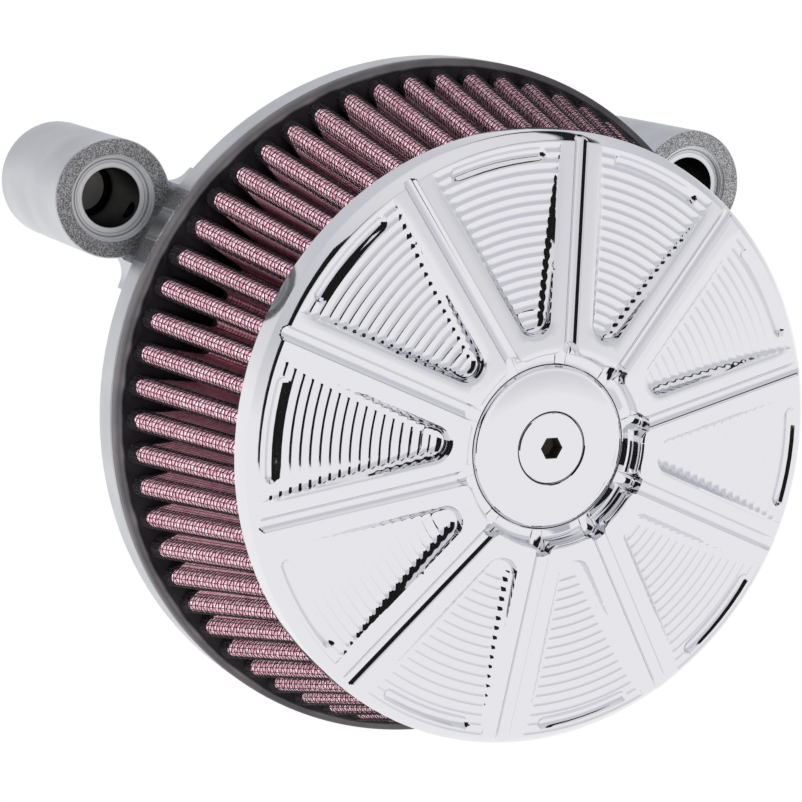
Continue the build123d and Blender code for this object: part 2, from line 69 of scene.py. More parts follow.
COVER_R = COVER_HIGH.x
COVER_BACK_Y = COVER_HIGH.y
COVER_EDGE_Y = COVER_BACK_Y - 8.0
COVER_HOLE_R = 5.3
HOLE_RECESS_R = 7.2
HOLE_RECESS_Y = -97.1
FACE_R = COVER_R - 2.85
SHOULDER_R = FACE_R + 0.4
FACE_Y = COVER_EDGE_Y - 3.5
DISC_R = DISC_HIGH.x
DISC_BACK_Y = DISC_HIGH.y
SEAT_Y = COVER_BACK_Y - 7.0
SKIRT_BORE_R = COVER_R - 2.35
WELL_R = 26.8
WELL_RIM_Y = COVER_LOW.y
FACE_SLOPE = (FACE_Y - WELL_RIM_Y) / (FACE_R - WELL_R)
CHANNEL_Y = -103.4
RIM_ROUND = 1.4

SPOKES = 10
SPOKE_PHASE = radians(12)
SPOKE_HALF = 6.2
EDGE_BEVEL = 0.9
EDGE_DROP = 0.28
GROOVE_R = 2.2
GROOVE_LIFT = 0.92
GROOVE_END_R = FACE_R + 1.6
NEAR_RIM_ROWS = 5          # rows of the face that bend round the notches
NOTCH_R = 2.4
NOTCH_BALL_Y = WELL_RIM_Y + 3.6
POCKET_IN_R = 31.0
POCKET_CORNER_R = 3.2
CUTTER_R = 3.2
TERRACES = 17
TERRACE_PITCH = 2.65
SCALLOP_DEPTH = 0.35
FLOOR_SLOPE = 0.085
SLOT_R = 76.9
SLOT_HALF = 1.6
SLOT_DEPTH = 1.5
SLOT_HALF_ANGLE = radians(9)

BOSS_R = 16.5
BOSS_X = PLATE_HIGH.x - BOSS_R
BOSS_Z = 57.2
BOSS_FRONT_Y = -16.9
COUNTERBORE_R = 11.9
BORE_R = 8.15

PLEATS = 62
PLEAT_DEPTH = 19.0
CREST_FRONT_R = 79.6
CREST_BACK_R = 94.4
CREST_SHARE = 0.58         # of the pitch that a pleat's round crest takes
WIRE_PITCH = 1.3
ACROSS_WIRE_R = 0.17
ALONG_WIRE_R = 0.11
WEAVE_RISE = 0.13
WEAVE_REACH = 5.3          # of wire either side of a pleat's crest, along the sheet
PAINTED_NET_FROM = 4.2     # pitches from the crest, where the net turns from wires to paint

# ---- the dark card in the studio, in metres: its direction from above, distance and half width
CARD_ANGLE = radians(226)
CARD_AWAY = 0.95
CARD_HALF = 0.41
CARD_TOP = 1.15


# ---- mesh helpers ------------------------------------------------------------------------
def add_object(name, points, faces, sharp_angle=32, merge=None):
    """A mesh object from points in millimetres, smooth but for edges sharper than sharp_angle."""
    mesh = bpy.data.meshes.new(name)
    mesh.from_pydata((np.asarray(points, float) * MM).tolist(), [], faces)
    if merge:
        bm = bmesh.new()
        bm.from_mesh(mesh)
        bmesh.ops.remove_doubles(bm, verts=bm.verts, dist=merge * MM)
        bmesh.ops.dissolve_degenerate(bm, edges=bm.edges, dist=merge * MM)
        bmesh.ops.recalc_face_normals(bm, faces=bm.faces)
        bm.to_mesh(mesh)
        bm.free()
    mesh.shade_smooth()
    mesh.set_sharp_from_angle(angle=radians(sharp_angle))
    obj = bpy.data.objects.new(name, mesh)
    bpy.context.scene.collection.objects.link(obj)
    return obj


def loop_faces(rows, columns):
    """Quads of a grid that closes round its columns and its rows."""
    faces = []
    for i in range(rows):
        a, b = i * columns, ((i + 1) % rows) * columns
        for j in range(columns):
            k = (j + 1) % columns
            faces.append((a + j, a + k, b + k, b + j))
    return faces


def around(radius, angle, y):
    """Points at a radius and angle about the Y axis."""
    return np.stack([radius * np.cos(angle), y, radius * np.sin(angle)], axis=-1)


def arc_points(centre, radius, start, end, count):
    """(radius, y) points on an arc of a turned outline, start and end in degrees."""
    turns = np.radians(np.linspace(start, end, count))
    return [(centre[0] + radius * cos(t), centre[1] + radius * sin(t)) for t in turns]


def arc_through(p0, middle, p1, count):
    """Points on the arc from p0 to p1 that passes through middle."""
    (ax, ay), (bx, by), (cx, cy) = p0, middle, p1
    d = 2 * (ax * (by - cy) + bx * (cy - ay) + cx * (ay - by))
    a2, b2, c2 = ax * ax + ay * ay, bx * bx + by * by, cx * cx + cy * cy
    centre = ((a2 * (by - cy) + b2 * (cy - ay) + c2 * (ay - by)) / d,
              (a2 * (cx - bx) + b2 * (ax - cx) + c2 * (bx - ax)) / d)
    start = atan2(ay - centre[1], ax - centre[0])
    end = atan2(cy - centre[1], cx - centre[0])
    turn = (end - start + pi) % (2 * pi) - pi
    radius = hypot(ax - centre[0], ay - centre[1])
    return [(centre[0] + radius * cos(start + turn * k / (count - 1)),
             centre[1] + radius * sin(start + turn * k / (count - 1))) for k in range(count)]


def turned(name, outline, segments=256, sharp_angle=32):
    """A ring turned about Y from a closed outline of (radius, y) points."""
    angle = np.linspace(0, 2 * pi, segments, endpoint=False)
    points = [around(np.full(segments, r), angle, np.full(segments, y)) for r, y in outline]
    faces = loop_faces(len(outline), segments)
    return add_object(name, np.concatenate(points), faces, sharp_angle, merge=0.002)


def add_uv(obj, u, v):
    """A UV map, in decimetres, from one value for each vertex in millimetres."""
    layer = obj.data.uv_layers.new(name="sheet")
    index = np.zeros(len(obj.data.loops), int)
    obj.data.loops.foreach_get("vertex_index", index)
    layer.data.foreach_set("uv", np.stack([u[index], v[index]], axis=-1).ravel() / 100)


# ---- materials ---------------------------------------------------------------------------
CHROME = (0.79, 0.785, 0.82)


class Graph:
    """A node tree with short ways to add to it."""

    def __init__(self, tree):
        self.nodes = tree.nodes
        self.links = tree.links

    def node(self, kind, **inputs):
        node = self.nodes.new(kind)
        for key, value in inputs.items():
            node.inputs[key.replace("_", " ")].default_value = value
        return node

    def link(self, out, into):
        self.links.new(out, into)

    def math(self, operation, a, b=None):
        node = self.nodes.new("ShaderNodeMath")
        node.operation = operation
        for socket, value in zip(node.inputs, (a, b)):
            if value is None:
                continue
            if isinstance(value, (int, float)):
                socket.default_value = value
            else:
                self.link(value, socket)
        return node.outputs[0]

    def clamp(self, value):
        return self.math("MINIMUM", self.math("MAXIMUM", value, 0.0), 1.0)

    def rise(self, value, start, end):
        """0 below start and 1 above end, or the other way round if end is the lower."""
        return self.clamp(self.math("MULTIPLY", self.math("SUBTRACT", value, start), 1 / (end - start)))

    def axes(self, coordinates, scale=1.0):
        """The X, Y and Z of a texture coordinate, scaled."""
        where = self.nodes.new("ShaderNodeTexCoord").outputs[coordinates]
        split = self.nodes.new("ShaderNodeSeparateXYZ")
        self.link(where, split.inputs[0])
        return [self.math("MULTIPLY", out, scale) for out in split.outputs]

    def length(self, a, b):
        return self.math("SQRT", self.math("ADD", self.math("MULTIPLY", a, a), self.math("MULTIPLY", b, b)))

    def ramp(self, value, *stops):
        """A colour ramp from (position, colour) stops."""
        node = self.nodes.new("ShaderNodeValToRGB")
        while len(node.color_ramp.elements) < len(stops):
            node.color_ramp.elements.new(0.5)
        for element, (at, colour) in zip(node.color_ramp.elements, stops):
            element.position = at
            element.color = (*colour, 1)
        self.link(value, node.inputs["Fac"])
        return node.outputs["Color"]

    def mix(self, factor, a, b):
        """Colour mix of a and b, each a colour or a socket."""
        node = self.nodes.new("ShaderNodeMix")
        node.data_type = "RGBA"
        self.link(factor, node.inputs["Factor"])
        for socket, value in ((node.inputs[6], a), (node.inputs[7], b)):
            if isinstance(value, tuple):
                socket.default_value = (*value, 1)
            else:
                self.link(value, socket)
        return node.outputs[2]


class Paint(Graph):
    """A material with a Principled shader."""

    def __init__(self, name, colour, roughness, metallic=0.0):
        self.material = bpy.data.materials.new(name)
        self.material.use_nodes = True
        super().__init__(self.material.node_tree)
        self.shader = self.nodes["Principled BSDF"]
        self.shader.inputs["Base Color"].default_value = (*colour, 1)
        self.shader.inputs["Roughness"].default_value = roughness
        self.shader.inputs["Metallic"].default_value = metallic

    def position(self, stretch=(1, 1, 1)):
        """Object coordinates, stretched, for solid textures."""
        where = self.nodes.new("ShaderNodeTexCoord").outputs["Object"]
        mapping = self.nodes.new("ShaderNodeMapping")
        mapping.inputs["Scale"].default_value = stretch
        self.link(where, mapping.inputs["Vector"])
        return mapping.outputs["Vector"]

    def noise(self, scale, detail=4, stretch=(1, 1, 1)):
        node = self.node("ShaderNodeTexNoise", Scale=scale, Detail=detail, Roughness=0.5)
        self.link(self.position(stretch), node.inputs["Vector"])
        return node.outputs["Fac"]

    def colour(self, socket):
        self.link(socket, self.shader.inputs["Base Color"])

    def vary_roughness(self, value, low, high):
        node = self.nodes.new("ShaderNodeMapRange")
        node.inputs["To Min"].default_value = low
        node.inputs["To Max"].default_value = high
        self.link(value, node.inputs["Value"])
        self.link(node.outputs["Result"], self.shader.inputs["Roughness"])

    def bump(self, height, distance, strength=1.0):
        """Adds a bump over any that is there already."""
        node = self.node("ShaderNodeBump", Strength=strength, Distance=distance * MM)
        self.link(height, node.inputs["Height"])
        before = self.shader.inputs["Normal"].links
        if before:
            self.link(before[0].from_socket, node.inputs["Normal"])
        self.link(node.outputs["Normal"], self.shader.inputs["Normal"])


def chrome_paint(name):
    """Bright plating with the faint waviness of polished metal."""
    paint = Paint(name, CHROME, 0.035, metallic=1.0)
    paint.vary_roughness(paint.noise(220, detail=3), 0.035, 0.085)
    paint.bump(paint.noise(260, detail=2), 0.006)
    return paint.material


def cast_aluminium_paint():
    """Satin cast aluminium: gritty boss faces, turned counterbores ringed with painted highlight and shade,
    and bores painted near black as painted shade.
    """
    paint = Paint("cast_aluminium", (0.60, 0.61, 0.64), 0.42, metallic=1.0)
    x, y, z = paint.axes("Object", 1 / MM)
    off_x = paint.math("SUBTRACT", paint.math("ABSOLUTE", x), BOSS_X)
    from_boss = paint.length(off_x, paint.math("SUBTRACT", z, BOSS_Z))
    bore_painted_shade_mask = paint.math("LESS_THAN", from_boss, BORE_R + 0.15)
    in_counterbore = paint.math("LESS_THAN", from_boss, COUNTERBORE_R + 0.1)
    at_front = paint.math("LESS_THAN", y, BOSS_FRONT_Y + 3)
    turned_zone = paint.math("MULTIPLY", in_counterbore, at_front)
    on_face = paint.math("MULTIPLY", paint.math("LESS_THAN", from_boss, BOSS_R - 0.3),
                         paint.math("LESS_THAN", y, BOSS_FRONT_Y + 0.15))
    gritty_zone = paint.math("MULTIPLY", on_face, paint.math("SUBTRACT", 1.0, in_counterbore))
    in_passage = paint.math("MULTIPLY", paint.math("LESS_THAN", from_boss, BOSS_R - 0.4),
                            paint.math("MULTIPLY", paint.math("GREATER_THAN", y, BOSS_FRONT_Y + 3),
                                       paint.math("LESS_THAN", y, PLATE_HIGH.y - 1)))
    bore_painted_shade_mask = paint.math("MAXIMUM", bore_painted_shade_mask, in_passage)
    satin = paint.ramp(paint.noise(60, detail=5), (0.3, (0.54, 0.55, 0.58)), (0.7, (0.66, 0.67, 0.70)))
    speck = paint.noise(3000, detail=4)
    gritty = paint.ramp(speck, (0.38, (0.13, 0.13, 0.14)), (0.55, (0.42, 0.42, 0.43)),
                        (0.7, (0.70, 0.70, 0.70)))
    colour = paint.mix(gritty_zone, satin, gritty)
    # Painted highlight and shade: the counterbore's turned steps are painted as rings of bright, dull and
    # dark aluminium.
    bright, dull, dark = (0.80, 0.81, 0.83), (0.50, 0.51, 0.53), (0.16, 0.16, 0.17)
    steps = paint.ramp(paint.rise(from_boss, BORE_R, COUNTERBORE_R + 0.2), (0.0, dull), (0.12, bright),
                       (0.34, bright), (0.40, dull), (0.56, bright), (0.62, dark), (0.68, dull),
                       (0.80, bright), (0.86, dull), (0.93, bright), (1.0, dark))
    colour = paint.mix(turned_zone, colour, steps)
    # The bores and the passage behind them are painted near black as painted shade.
    paint.colour(paint.mix(bore_painted_shade_mask, colour, (0.018, 0.013, 0.009)))
    grit = paint.noise(3800, detail=2)
    rings = paint.math("SINE", paint.math("MULTIPLY", from_boss, 14.0))
    dullness = paint.math("ADD", paint.math("MULTIPLY", grit, 0.5), paint.math("MULTIPLY", bore_painted_shade_mask, 0.5))
    paint.vary_roughness(dullness, 0.34, 0.62)
    paint.bump(grit, 0.05, 0.5)
    paint.bump(paint.math("MULTIPLY", speck, gritty_zone), 0.15, 0.7)
    paint.bump(paint.math("MULTIPLY", rings, turned_zone), 0.02, 0.6)
    return paint.material


def screw_paint():
    """The cover screw: chromed, and dull and dark inside its socket."""
    paint = Paint("chromed_screw", CHROME, 0.06, metallic=1.0)
    x, y, z = paint.axes("Object", 1 / MM)
    narrow = paint.math("LESS_THAN", paint.length(x, z), 3.4)
    sunk = paint.math("GREATER_THAN", y, SCREW_LOW.y + 0.06)
    in_socket = paint.math("MULTIPLY", narrow, sunk)
    paint.colour(paint.mix(in_socket, CHROME, (0.16, 0.14, 0.12)))
    paint.vary_roughness(in_socket, 0.05, 0.7)
    return paint.material


def machined_paint(name, colour, roughness, metallic=1.0):
    """Turned metal: fine rings about the filter's axis."""
    paint = Paint(name, colour, roughness, metallic)
    rings = paint.noise(1600, detail=2, stretch=(0.08, 1, 0.08))
    paint.vary_roughness(rings, roughness * 0.8, roughness * 1.3)
    paint.bump(rings, 0.02, 0.4)
    return paint.material


def rubber_paint(name, colour, roughness):
    paint = Paint(name, colour, roughness)
    grain = paint.noise(900, detail=4)
    paint.vary_roughness(grain, roughness - 0.08, roughness + 0.1)
    paint.bump(grain, 0.05, 0.5)
    return paint.material


def urethane_paint():
    """Moulded urethane: grey and satin on the flange's rim, near black and wet-looking in the pour, where the
    near black is partly the urethane's own colour and partly painted shade between the pleats.
    """
    paint = Paint("black_urethane", (0.02, 0.02, 0.02), 0.38)
    x, y, z = paint.axes("Object", 1 / MM)
    flow = paint.noise(90, detail=4)
    edge = paint.math("ADD", paint.length(x, z), paint.math("MULTIPLY", flow, 0.8))
    grey = paint.ramp(flow, (0.35, (0.075, 0.07, 0.075)), (0.7, (0.11, 0.10, 0.105)))
    # The pour's near black is partly black urethane and partly painted shade of the deep gaps between the
    # pleats.
    black = paint.ramp(flow, (0.35, (0.003, 0.002, 0.003)), (0.75, (0.010, 0.008, 0.010)))
    pour_black_and_shade = paint.rise(edge, REAR_HIGH.x - 1.1, REAR_HIGH.x - 1.7)
    paint.colour(paint.mix(pour_black_and_shade, grey, black))
    paint.vary_roughness(flow, 0.3, 0.5)
    paint.shader.inputs["Specular IOR Level"].default_value = 0.1
    paint.bump(paint.noise(320, detail=3), 0.12, 0.5)
    return paint.material


# ---- cover -------------------------------------------------------------------------------
def face_y(r):
    return FACE_Y - (FACE_R - r) * FACE_SLOPE


HALF_SECTOR = pi / SPOKES


def side_columns():
    """Columns from a spoke's middle: offsets from the spoke's edge, then shares of the floor."""
    groove = [0, 0.5, 1.0, 1.4, 1.7, 1.88, 1.999, 2.12, 2.4, 3.7]
    flat = [SPOKE_HALF - EDGE_BEVEL, SPOKE_HALF - EDGE_BEVEL + 0.12, SPOKE_HALF]
    wall = [0.08, 0.4, 0.8, 1.2, 1.6, 2.0, 2.45, 2.9, 3.3]
    offsets = [w - SPOKE_HALF for w in groove + flat] + wall
    shares = [0.05, 0.085, 0.125, 0.17, 0.42, 0.7, 1.0]
    return np.array(offsets), np.array(shares)


def trough_rows():
    """Radii along the pockets: each trough's ridge, a soft shoulder and its hollow."""
    steps = [0, 0.12, 0.6, 1.05, 1.6, 2.05, 2.53]
    first = FACE_R - TERRACES * TERRACE_PITCH
    return [first + n * TERRACE_PITCH + s for n in range(TERRACES) for s in steps]


def pocket_depth(r, inside, from_middle):
    """Depth under the cone at a radius, for a distance inside the pocket's outline."""
    height = np.clip((FACE_R - np.maximum(r, FACE_R - TERRACES * TERRACE_PITCH)) * (FACE_SLOPE - FLOOR_SLOPE)
                     + np.maximum(0, FACE_R - TERRACES * TERRACE_PITCH - r) * FACE_SLOPE, 0, None)
    low = np.minimum(height, CUTTER_R)
    reach = np.sqrt(np.maximum(CUTTER_R ** 2 - (CUTTER_R - low) ** 2, 0)) + 0.08
    t = np.clip(reach - inside, 0, CUTTER_R * 0.9999)
    wall_pass = height - CUTTER_R + np.sqrt(CUTTER_R ** 2 - t ** 2)
    ball = ((TERRACE_PITCH / 2) ** 2 + SCALLOP_DEPTH ** 2) / (2 * SCALLOP_DEPTH)
    along = (FACE_R - r) % TERRACE_PITCH - TERRACE_PITCH / 2
    in_floor = (r >= FACE_R - TERRACES * TERRACE_PITCH - 0.01) & (r <= FACE_R)
    t = np.maximum(reach - inside, 0)
    trough = height + SCALLOP_DEPTH - ball + np.sqrt(np.maximum(ball ** 2 - t ** 2 - along ** 2, 0))
    depth = np.where(in_floor, np.maximum(wall_pass, trough), wall_pass)
    past_end = np.maximum(np.abs(from_middle) - SLOT_HALF_ANGLE, 0) * SLOT_R
    off = np.sqrt((r - SLOT_R) ** 2 + past_end ** 2)
    slot = height + SLOT_DEPTH * np.sqrt(np.maximum(1 - (off / SLOT_HALF) ** 2, 0))
    depth = np.where(off < SLOT_HALF, np.maximum(depth, slot), depth)
    return np.where(inside > 0, depth, 0), height


def round_corner(side, end):
    """Bends the grid round the pocket's inner corner. Gives new offsets and the distance inside."""
    p, q = POCKET_CORNER_R - side, POCKET_CORNER_R - end
    corner = (p > 0) & (q > 0)
    m = np.maximum(p, q)
    steep = p >= q
    ratio = np.where(steep, q / np.where(np.abs(p) < 1e-9, 1, p), p / np.where(np.abs(q) < 1e-9, 1, q))
    turn = np.where(steep, pi / 4 * ratio, pi / 2 - pi / 4 * ratio)
    keep = np.clip((m - POCKET_CORNER_R - 1.0) / 3.0, 0, 1)
    keep = keep * keep * (3 - 2 * keep)
    bent_p = keep * p + (1 - keep) * m * np.cos(turn)
    bent_q = keep * q + (1 - keep) * m * np.sin(turn)
    inside = np.where(corner, POCKET_CORNER_R - m, np.minimum(side, end))
    new_side = np.where(corner, POCKET_CORNER_R - bent_p, side)
    new_end = np.where(corner, POCKET_CORNER_R - bent_q, end)
    return new_side, new_end, inside


def cover_face_rows(row_r):
    """Half-sector points (radius, angle from the spoke, y) of the face between well and shoulder."""
    offsets, shares = side_columns()
    r = np.repeat(row_r[:, None], len(offsets), axis=1)
    room = r * sin(HALF_SECTOR) - SPOKE_HALF
    side = np.where(offsets[None, :] > 0, offsets[None, :] * np.minimum(1, room / 3.38), offsets[None, :])
    side, end, inside = round_corner(side, r - POCKET_IN_R)
    r = end + POCKET_IN_R
    turn = np.arcsin(np.clip((side + SPOKE_HALF) / r, -1, 1))
    last_r, last_turn = r[:, -1:], turn[:, -1:]
    floor_turn = last_turn + (HALF_SECTOR - last_turn) * shares[None, :]
    floor_r = last_r + (row_r[:, None] - last_r) * shares[None, :]
    floor_inside = np.minimum(floor_r * np.sin(floor_turn) - SPOKE_HALF, floor_r - POCKET_IN_R)
    r = np.concatenate([r, floor_r], axis=1)
    turn = np.concatenate([turn, floor_turn], axis=1)
    inside = np.concatenate([inside, floor_inside], axis=1)
    depth, height = pocket_depth(r, inside, HALF_SECTOR - turn)
    drop = np.minimum(EDGE_DROP, 0.5 * height)
    bevel = drop * np.clip(1 + inside / EDGE_BEVEL, 0, 1)
    y = face_y(r) + np.maximum(depth, bevel)
    return r, turn, np.maximum(y, groove_y(r, turn))


def groove_y(r, turn):
    """How deep the spoke's ball-nosed groove reaches, and far in front of the cover elsewhere."""
    across = r * np.sin(turn)
    room = GROOVE_R ** 2 - across ** 2 - np.maximum(r - GROOVE_END_R, 0) ** 2
    return np.where(room > 0, face_y(r) - GROOVE_LIFT + np.sqrt(np.maximum(room, 0)), -1000)


def well_rows(turn):
    """Rows from the disc's seat up the channel's wall to the face, with the grooves' notches."""
    wall_r = WELL_R - RIM_ROUND
    outline = [(DISC_R + 0.12, DISC_BACK_Y), (DISC_R + 0.12, CHANNEL_Y + 0.2), (DISC_R + 0.32, CHANNEL_Y)]
    outline += arc_points((wall_r - 1.5, CHANNEL_Y - 1.2), 1.5, 90, 0, 6)
    outline += [(wall_r, y) for y in np.linspace(CHANNEL_Y - 2.0, WELL_RIM_Y + RIM_ROUND, 6)]
    outline += arc_points((WELL_R, WELL_RIM_Y + RIM_ROUND), RIM_ROUND, 180, 262, 6)[1:]
    rows = []
    for r0, y0 in outline:
        r = np.full_like(turn, r0)
        y = np.full_like(turn, y0)
        if r0 > WELL_R - 4.0:
            r, y = with_notch(r, y, turn)
        rows.append((r, turn, y))
    return rows


def with_notch(r, y, turn):
    """Moves points out of the upright ball-nosed notch where a groove meets the well."""
    across = np.abs(WELL_R * np.sin(turn))
    ball = np.sqrt(np.maximum(NOTCH_R ** 2 - np.maximum(y - NOTCH_BALL_Y, 0) ** 2, 0))
    reach = WELL_R - 0.4 + np.sqrt(np.maximum(ball ** 2 - across ** 2, 0))
    out = np.where((across < ball) & (reach > r), reach, r)
    top = np.maximum(face_y(out), groove_y(out, turn))
    return out, np.where(out > WELL_R, np.maximum(y, top), y)


def make_cover():
    """The chromed cover as one closed grid: its turned outline, with pockets, grooves and notches cut in."""
    bevel_r = POCKET_IN_R - EDGE_BEVEL
    inner = [WELL_R + 0.35, WELL_R + 1.2, WELL_R + 2.1, bevel_r - 0.6, bevel_r, bevel_r + 0.12,
             POCKET_IN_R, POCKET_IN_R + 0.08]
    inner += [POCKET_IN_R + s for s in (0.4, 0.8, 1.2, 1.6, 2.0, 2.45, 2.9, 3.3)]
    row_r = np.array(inner + trough_rows() + [FACE_R - 0.001])
    r, turn, y = cover_face_rows(row_r)
    near = np.arange(len(row_r)) < NEAR_RIM_ROWS
    across = np.abs(r * np.sin(turn))
    reach = WELL_R - 0.4 + np.sqrt(np.maximum(NOTCH_R ** 2 - across ** 2, 0))
    r = np.where(near[:, None] & (across < NOTCH_R) & (reach > r), reach, r)
    y = np.where(near[:, None], np.maximum(face_y(r), groove_y(r, turn)), y)
    rows = [(np.full_like(turn[0], a), turn[0], np.full_like(turn[0], b))
            for a, b in ((COVER_HOLE_R, HOLE_RECESS_Y), (HOLE_RECESS_R, HOLE_RECESS_Y),
                         (HOLE_RECESS_R, DISC_BACK_Y))]
    rows += well_rows(turn[0])
    rows += [(r[i], turn[i], y[i]) for i in range(len(row_r))]
    start = (SHOULDER_R + 0.12, face_y(SHOULDER_R) + 0.14)
    end = (COVER_R - 0.12, COVER_EDGE_Y - 0.35)
    middle = ((start[0] + end[0]) / 2 + 0.1, (start[1] + end[1]) / 2 - 0.08)
    shoulder = [(SHOULDER_R - 0.1, face_y(SHOULDER_R - 0.1)), (SHOULDER_R, face_y(SHOULDER_R) + 0.02)]
    shoulder += arc_through(start, middle, end, 8)
    shoulder += [(COVER_R - 0.02, COVER_EDGE_Y), (COVER_R, COVER_EDGE_Y + 0.4)]
    outer = shoulder + [(COVER_R, COVER_BACK_Y - 0.4), (COVER_R - 0.4, COVER_BACK_Y),
                        (SKIRT_BORE_R, COVER_BACK_Y), (SKIRT_BORE_R, SEAT_Y + 0.8),
                        (SKIRT_BORE_R - 0.8, SEAT_Y), (COVER_HOLE_R, SEAT_Y)]
    for a, b in outer:
        ra = np.full_like(turn[-1], a)
        ya = np.full_like(turn[-1], b)
        if b < COVER_EDGE_Y and a > FACE_R:
            ya = np.maximum(ya, groove_y(ra, turn[-1]))
        rows.append((ra, turn[-1], ya))
    radius = np.array([row[0] for row in rows])
    turns = np.array([row[1] for row in rows])
    depth = np.array([row[2] for row in rows])
    parts = []
    for n in range(SPOKES):
        spoke = SPOKE_PHASE + n * 2 * HALF_SECTOR
        parts.append(around(radius, spoke + turns, depth)[:, :-1])
        mirrored = around(radius, spoke + 2 * HALF_SECTOR - turns, depth)
        parts.append(mirrored[:, :0:-1])
    grid = np.concatenate(parts, axis=1)
    faces = loop_faces(grid.shape[0], grid.shape[1])
    return add_object("cover_chromed", grid.reshape(-1, 3), faces, 28, merge=0.004)


def make_disc():
    """The hub disc: a low dome with a soft edge and a countersink for the screw."""
    low_y, back_y = DISC_LOW.y, DISC_BACK_Y
    edge_y = low_y + 1.4
    bore_r = 9.85
    outline = [(7.2, back_y), (DISC_R, back_y), (DISC_R, edge_y + 1.2)]
    outline += arc_through((DISC_R, edge_y + 1.0), (DISC_R - 0.42, edge_y + 0.2),
                           (DISC_R - 1.4, edge_y - 0.15), 9)[1:]
    outline += arc_through((DISC_R - 1.4, edge_y - 0.15), ((DISC_R + bore_r) / 2, low_y + 0.35),
                           (bore_r + 0.15, low_y), 18)[1:]
    outline += [(bore_r, low_y + 0.12), (bore_r, low_y + 0.8), (9.7, low_y + 0.9), (7.2, low_y + 3.3)]
    return turned("cover_hub_disc_chromed", outline)


# ---- element -----------------------------------------------------------------------------
def crest_radius(share):
    """The pleats' outer radius: share is 0 at the cover's end and 1 at the plate's end."""
    return CREST_FRONT_R + (CREST_BACK_R - CREST_FRONT_R) * share


def pleat_half(crest, inset, arc_steps=7, flank_steps=5, valley_steps=4):
    """Half a pleat from its crest to the valley: radius, angle and length along the sheet."""
    half_pitch = pi / PLEATS
    nose = CREST_SHARE * half_pitch * (crest - 2.8)
    centre = crest - 0.35 - nose
    nose_in = nose - inset
    fold = 1.1 + inset
    bottom = crest - PLEAT_DEPTH - inset
    points = [(nose_in * sin(a), centre + nose_in * cos(a)) for a in np.linspace(0, pi / 2, arc_steps)]
    fold_centre = bottom + fold
    gap = fold_centre * half_pitch - fold
    for share in np.linspace(0, 1, flank_steps + 2)[1:-1]:
        points.append((nose_in + (gap - nose_in) * share, centre + (fold_centre - centre) * share))
    points += [(fold_centre * half_pitch - fold * cos(a), fold_centre - fold * sin(a))
               for a in np.linspace(0, pi / 2, valley_steps)]
    x = np.array([p[0] for p in points])
    r = np.array([p[1] for p in points])
    length = np.concatenate([[0], np.cumsum(np.hypot(np.diff(x), np.diff(r)))])
    turn = np.minimum(x / r, half_pitch)
    turn[-1] = half_pitch
    return r, turn, length


def pleat_ring(y, crest, inset):
    """One closed loop of the pleated sheet at a height: points and length across the sheet."""
    r, turn, length = pleat_half(crest, inset)
    half_pitch = pi / PLEATS
    loops, lengths = [], []
    for n in range(PLEATS):
        middle = 2 * half_pitch * n
        loops.append(around(r[:-1], middle + turn[:-1], np.full(len(r) - 1, y)))
        lengths.append(length[:-1])
        loops.append(around(r[:0:-1], middle + 2 * half_pitch - turn[:0:-1], np.full(len(r) - 1, y)))
        lengths.append(-length[:0:-1])
    return np.concatenate(loops), np.concatenate(lengths)


def pleated_sheet(name, inset, thickness, rows=10):
    """The pleated sheet as a closed shell of some thickness."""
    front_y, back_y = COTTON_LOW.y, COTTON_HIGH.y
    shares = np.linspace(0, 1, rows)
    rings = [pleat_ring(front_y + (back_y - front_y) * s, crest_radius(s), inset) + (s,) for s in shares]
    rings += [pleat_ring(front_y + (back_y - front_y) * s, crest_radius(s), inset + thickness) + (s,)
              for s in shares[::-1]]
    points = np.concatenate([ring[0] for ring in rings])
    across = np.concatenate([ring[1] for ring in rings])
    along = np.concatenate([np.full(len(ring[0]), ring[2] * (back_y - front_y)) for ring in rings])
    obj = add_object(name, points, loop_faces(len(rings), len(rings[0][0])), 60)
    add_uv(obj, across, along)
    return obj


def sheet_point(length, share, lift, table):
    """A point of the outer sheet at a length from the crest, lifted off it, and the normal there."""
    r, turn, lengths = table
    at = abs(length)
    radius = np.interp(at, lengths, r)
    angle = np.interp(at, lengths, turn)
    step = 0.15
    r2, a2 = np.interp(at + step, lengths, r), np.interp(at + step, lengths, turn)
    tangent = np.array([radius * (a2 - angle), r2 - radius])
    tangent /= np.hypot(*tangent) + 1e-12
    normal = np.array([-tangent[1], tangent[0]])
    radius_out = radius + lift * normal[1]
    angle_out = angle + lift * normal[0] / radius
    if length >= 0:
        return radius_out, angle_out, normal
    return radius_out, -angle_out, normal * np.array([-1, 1])


def wire_tubes(lines, radius):
    """Three-sided closed tubes along lines of points: an array (lines, points, 3) and its normals."""
    points, normals = lines
    count, steps = points.shape[:2]
    tangent = np.gradient(points, axis=1)
    tangent /= np.linalg.norm(tangent, axis=2, keepdims=True)
    side = np.cross(tangent, normals)
    side /= np.linalg.norm(side, axis=2, keepdims=True)
    corners = []
    for turn in (90, 210, 330):
        corners.append(points + radius * (sin(radians(turn)) * normals + cos(radians(turn)) * side))
    verts = np.stack(corners, axis=2).reshape(-1, 3)
    faces = []
    for n in range(count):
        base = n * steps * 3
        for k in range(steps - 1):
            a, b = base + 3 * k, base + 3 * (k + 1)
            for c in range(3):
                d = (c + 1) % 3
                faces.append((a + c, a + d, b + d, b + c))
        end = base + 3 * (steps - 1)
        faces.append((base + 2, base + 1, base))
        faces.append((end, end + 1, end + 2))
    return verts, faces


